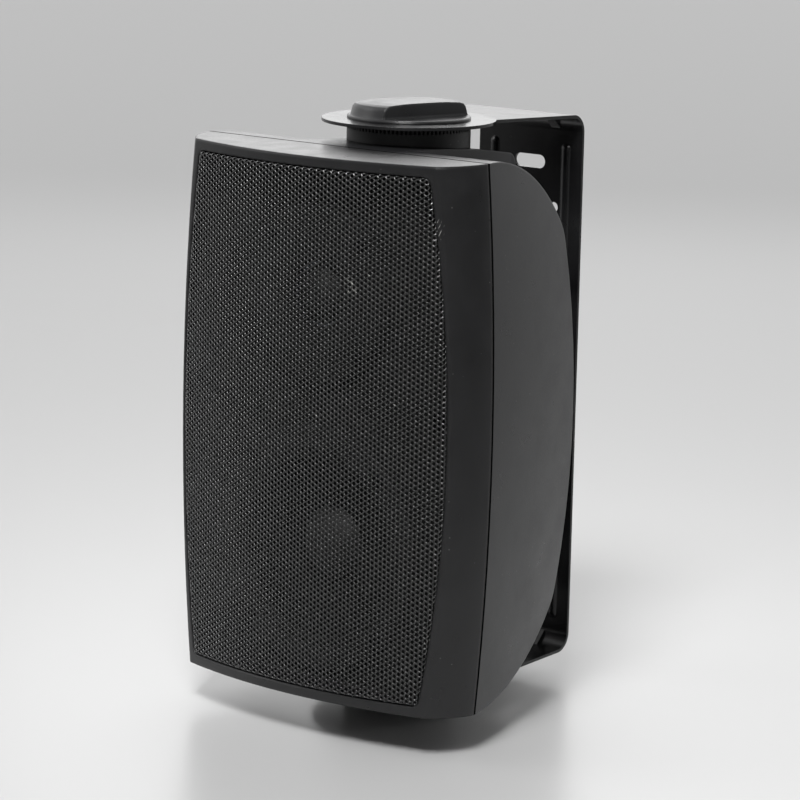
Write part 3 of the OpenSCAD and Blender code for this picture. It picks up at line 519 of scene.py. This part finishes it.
regular = pitch * math.sin(math.radians(60))
pair = tile(0, 0)
second = tile(regular, pitch / 2)
only(pair)
second.select_set(True)
bpy.ops.object.join()
bpy.ops.transform.resize(value=(column / regular, 1, 1), center_override=(0, 0, 0))
finish_place(pair)
report(pair)

# %% [markdown]
# The tiles are repeated in columns and rows that fit into one another, in three bands to keep
# each piece light. Tiles outside the outline are deleted, doubles are merged, and the open
# edge is extruded back through the sheet, which closes it.

# %% Repeat the tiles in three bands
columns = 40


def nearest_hole(x, z):
    """The middle of the tile that a place in the sheet belongs to, in millimetres."""
    best = None
    for i in range(round(x / column) - 1, round(x / column) + 2):
        shift = 0.5 if i % 2 else 0.0
        hole = (i * column, (round(z / pitch - shift) + shift) * pitch)
        gap = ((hole[0] - x) * regular / column) ** 2 + (hole[1] - z) ** 2
        if best is None or gap < best[0]:
            best = (gap, hole)
    return best[1]


def outside(x, z, grow):
    return abs(z) > grille_h / 2 + grow or abs(x) > half_width(z) + grow


def band(name, low, count):
    only(pair)
    bpy.ops.object.duplicate()
    sheet = named(name)
    apply(sheet, "ARRAY", count=columns, use_relative_offset=False, use_constant_offset=True,
          constant_offset_displace=(2 * column * MM, 0, 0))
    apply(sheet, "ARRAY", count=count, use_relative_offset=False, use_constant_offset=True,
          constant_offset_displace=(0, 0, pitch * MM))
    edit(sheet, "VERT")
    bpy.ops.mesh.select_all(action="SELECT")
    bpy.ops.transform.translate(value=(-columns * column * MM, 0, low * pitch * MM))
    bpy.ops.mesh.select_mode(type="FACE")
    pick(sheet, "FACE", lambda c, f: outside(*nearest_hole(c.x / MM, c.z / MM), 2.0))
    bpy.ops.mesh.delete(type="FACE")
    bpy.ops.mesh.select_mode(type="EDGE")
    bpy.ops.mesh.select_all(action="SELECT")
    bpy.ops.mesh.remove_doubles(threshold=2e-5)
    pick(sheet, "EDGE", lambda c, e: e.is_boundary and c.y < sheet_mm * MM / 2)
    bpy.ops.mesh.extrude_edges_move()
    bpy.ops.transform.translate(value=(0, sheet_mm * MM, 0))
    done()
    close_and_turn(sheet, 2e-5)
    return sheet


bands = [band("grille_sheet_low", -50, 34), band("grille_sheet_middle", -16, 33),
         band("grille_sheet_high", 17, 34)]
bpy.data.objects.remove(pair)
for sheet in bands:
    report(sheet)

# %% [markdown]
# A ring of points is shaped to an outline and extruded from one outline to the next. That is
# how the plain part of the grille's folded edge is made.

# %% Rings of points
def rings(name, loops):
    """A skin through rings of points in millimetres: each ring is extruded from the last."""
    bpy.ops.object.select_all(action="DESELECT")
    bpy.ops.mesh.primitive_circle_add(vertices=len(loops[0]), radius=0.1)
    skin = named(name)
    for v, p in zip(skin.data.vertices, loops[0]):
        v.co = Vector(p) * MM
    edit(skin, "EDGE")
    bpy.ops.mesh.select_all(action="SELECT")
    for before, after in zip(loops, loops[1:]):
        tree = kdtree.KDTree(len(before))
        for i, p in enumerate(before):
            tree.insert(Vector(p) * MM, i)
        tree.balance()
        bpy.ops.mesh.extrude_edges_move()
        bm = bmesh.from_edit_mesh(skin.data)
        for v in bm.verts:
            if v.select:
                v.co = Vector(after[tree.find(v.co)[1]]) * MM
        bmesh.update_edit_mesh(skin.data)
    done()
    return skin

# %% [markdown]
# Each flat band is folded and bowed point by point: what lies within the bend of the outline
# turns round it and runs back, and the rest follows the bow of the front.

# %% Fold and bow the bands
bend_mm = 1.5


def fold(inset, thick):
    """Where a place in the flat sheet goes at the fold: its new inset and its depth."""
    run = bend_mm - inset
    if run < 0:
        return inset, thick
    a = min(run / bend_mm, math.pi / 2)
    back = max(run - bend_mm * math.pi / 2, 0)
    return bend_mm - (bend_mm - thick) * math.sin(a), bend_mm - (bend_mm - thick) * math.cos(a) + back


for sheet in bands:
    for v in sheet.data.vertices:
        x, thick, z = v.co / MM
        side, deep_side = fold(half_width(z) - abs(x), thick)
        end, deep_end = fold(grille_h / 2 - abs(z), thick)
        x = math.copysign(half_width(z) - side, x)
        z = math.copysign(grille_h / 2 - end, z)
        v.co = Vector((x, front_y + bow(x) + deep_side + deep_end - thick, z)) * MM
    smooth(sheet, 55)
    report(sheet)

# %% [markdown]
# Behind the fold the rest of the edge, without holes, runs back into the bezel. It is a ring
# extruded through two outlines and given its thickness.

# %% The folded edge
def bowed_ring(inset, back_mm):
    return [(x, front_y + bow(x) + back_mm, z) for x, z in outline(inset)]


edge = rings("grille_edge", [bowed_ring(0.1, 3.0), bowed_ring(0.1, 5.0)])
close_and_turn(edge)
apply(edge, "SOLIDIFY", thickness=0.6 * MM, offset=-1)
smooth(edge, 50)
report(edge)

# %% [markdown]
# ## Powder coat of the grille
# A matter, slightly grainy coat. Its rounded webs catch the light as small glints. Something
# has rubbed it at one place, a hand's breadth below its top, and left a whitish scuff.

# %% Powder coat of the grille
grille_coat = new_material("powder_coat_grille")
cloud = grain(grille_coat, 25, 3, 0.6)
speck = grain(grille_coat, 0.9, 2, 0.6)
rubbed = add(grille_coat, "TexGradient", {"gradient_type": "SPHERICAL"},
             Vector=place_mm(grille_coat, (31, -176, 69), (3.6, 20, 5.5), (0, -25, 0))).outputs[0]
rubbed = math_node(grille_coat, "MULTIPLY", between(grille_coat, rubbed, 0.1, 0.6, 0.0, 1.0),
                   between(grille_coat, grain(grille_coat, 2.2, 2), 0.46, 0.6, 0.0, 0.55))
coat = blend_colour(grille_coat, between(grille_coat, cloud, 0.35, 0.7, 0.0, 1.0), "#060606", "#0e0e0e")
flecks = math_node(grille_coat, "MULTIPLY", dust(grille_coat, 4.5, 0.06), 0.8)
coat = blend_colour(grille_coat, flecks, coat, "#90908c")
coat = blend_colour(grille_coat, rubbed, coat, "#a2a29e")
surface(grille_coat, Base_Color=coat, IOR=1.6, Normal=relief(grille_coat, speck, 0.03, 0.4),
        Roughness=between(grille_coat, cloud, 0.3, 0.7, 0.24, 0.32), Coat_Weight=0.7, Coat_IOR=1.6,
        Coat_Roughness=0.26)
for piece in bands + [edge]:
    piece.data.materials.clear()
    piece.data.materials.append(grille_coat)
    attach(piece, "cabinet")
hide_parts("grille")

# %% [markdown]
# ## Floor, light and finish
# The floor is a plain pale sheet just under the lower knob. The room is pale behind the object
# and dim on the side of the camera, which gives black plastic its light edges.

# %% Floor
bpy.ops.object.select_all(action="DESELECT")
bpy.ops.mesh.primitive_plane_add(size=12, location=(0, 0, -0.1445))
floor = named("floor")
floor_sheet = new_material("matt_card")
surface(floor_sheet, Base_Color=hex_colour("#bcbcbc"), Roughness=0.3, IOR=1.45)
floor.data.materials.append(floor_sheet)

# %% [markdown]
# A small lamp with a narrow beam hangs in front on the right, and makes the rims of the grille's
# holes glint. A broad one stands behind on the left and gives every level face its sheen, and a
# weak one fills in from the left. Their powers were matched to the photograph's tones.

# %% Light
def lamp(name, where, aim, size, power, spread=180):
    light = bpy.data.lights.new(name, "AREA")
    light.size = size
    light.energy = power
    light.spread = math.radians(spread)
    obj = bpy.data.objects.new(name, light)
    bpy.context.scene.collection.objects.link(obj)
    obj.location = where
    obj.rotation_euler = (Vector(aim) - Vector(where)).to_track_quat("-Z", "Y").to_euler()


lamp("soft_lamp_top", (0.42, -0.95, 1.25), (0, -0.08, 0), 0.5, 2.9, 55)
lamp("soft_lamp_back", (-0.8, 1.05, 0.8), (0, -0.08, 0), 1.0, 4.5)
lamp("soft_lamp_left", (-1.3, -0.9, 1.0), (0, -0.08, 0), 0.8, 4)
world = bpy.data.worlds.new("studio")
bpy.context.scene.world = world
world.use_nodes = True
world.node_tree.nodes.clear()
direction = add(world, "TexCoord").outputs["Generated"]
towards_wall = add(world, "VectorMath", {"operation": "DOT_PRODUCT"}, i0=direction,
                   i1=(-0.66, 0.72, 0.22)).outputs["Value"]
tone = between(world, towards_wall, -0.3, 0.95, 0.16, 1.05)
room = add(world, "Background", None, Color=(1, 1, 1, 1), Strength=tone)
add(world, "OutputWorld", None, Surface=room.outputs[0])
bpy.context.scene.view_settings.view_transform = "Standard"
